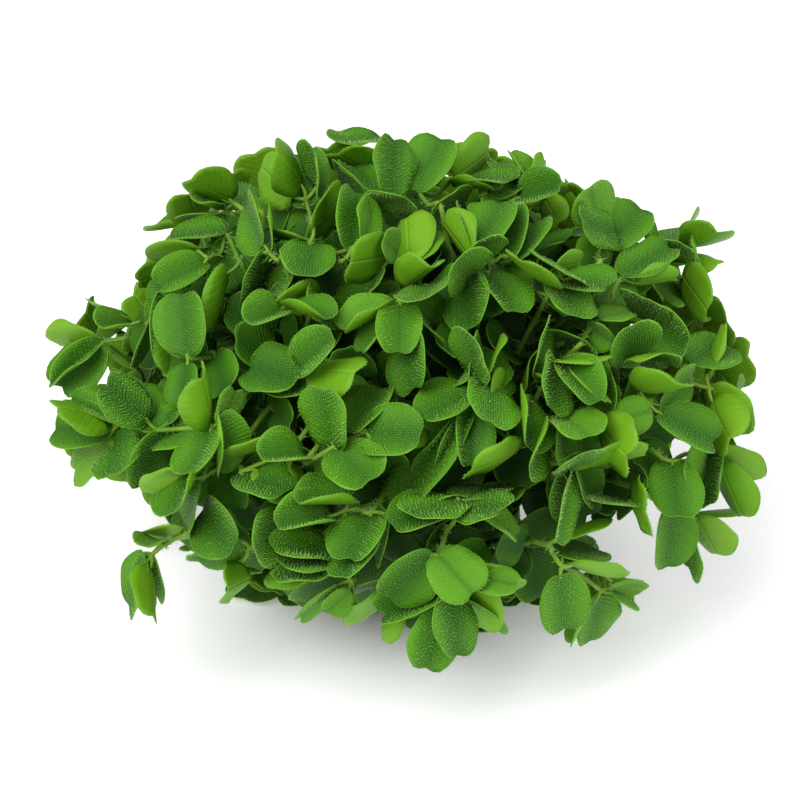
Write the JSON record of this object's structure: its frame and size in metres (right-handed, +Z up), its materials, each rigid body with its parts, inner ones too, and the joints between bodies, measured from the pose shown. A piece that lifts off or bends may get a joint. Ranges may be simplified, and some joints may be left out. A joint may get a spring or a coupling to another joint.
{
  "type": "clump of water spangles",
  "caption": "Loose mound of tangled floating-fern sprigs: round folded leaves in pairs on thin hairy stems, flattened where it lies.",
  "frame": {"origin": "on the surface that the clump lies on, below the middle of the mound", "axes": "+Z up, +X to the right along the mound's longest side, +Y away from its front"},
  "size_m": [0.1265, 0.1233, 0.0926],
  "materials": {
    "leaf": "matt living leaf, mid green, with rows of fine pale hairs above and smooth below",
    "runner": "pale yellow-green stem with fine hairs"
  },
  "bodies": {
    "root": {"centre_left_sprig": "leaf", "centre_right_sprig": "leaf", "centre_sprig": "leaf", "centre_top_sprig": "leaf", "centre_upper_sprig": "leaf", "crown_left_sprig": "leaf", "crown_middle_sprig": "leaf", "crown_right_sprig": "leaf", "crown_sprig": "leaf", "far_sprig_01": "leaf", "far_sprig_02": "leaf", "far_sprig_03": "leaf", "far_sprig_04": "leaf", "far_sprig_05": "leaf", "far_sprig_06": "leaf", "far_sprig_07": "leaf", "far_sprig_08": "leaf", "far_sprig_09": "leaf", "far_sprig_10": "leaf", "far_sprig_11": "leaf", "front_centre_sprig": "leaf", "front_foot_sprig": "leaf", "front_middle_left_sprig": "leaf", "front_sprig": "leaf", "heart_left_sprig": "leaf", "left_hanging_sprig": "leaf", "left_inner_sprig": "leaf", "left_middle_sprig": "leaf", "left_shoulder_sprig": "leaf", "left_tip_sprig": "leaf", "lower_front_left_sprig": "leaf", "lower_left_sprig": "leaf", "lower_right_front_sprig": "leaf", "lower_right_sprig": "leaf", "right_bright_sprig": "leaf", "right_centre_sprig": "leaf", "right_edge_sprig": "leaf", "right_hanging_sprig": "leaf", "right_inner_sprig": "leaf", "right_lower_inner_sprig": "leaf", "right_middle_sprig": "leaf", "right_shaded_sprig": "leaf", "right_shoulder_sprig": "leaf", "right_tip_upper_sprig": "leaf", "runner_1": "runner", "runner_2": "runner", "runner_3": "runner", "runner_4": "runner", "shaded_left_sprig": "leaf", "under_sprig_1": "leaf", "under_sprig_2": "leaf", "under_sprig_3": "leaf", "under_sprig_4": "leaf", "upper_back_sprig": "leaf", "upper_far_right_sprig": "leaf", "upper_heart_sprig": "leaf", "upper_left_inner_sprig": "leaf", "upper_left_sprig": "leaf", "upper_left_tip_sprig": "leaf", "upper_right_sprig": "leaf"}
  },
  "joints": []
}
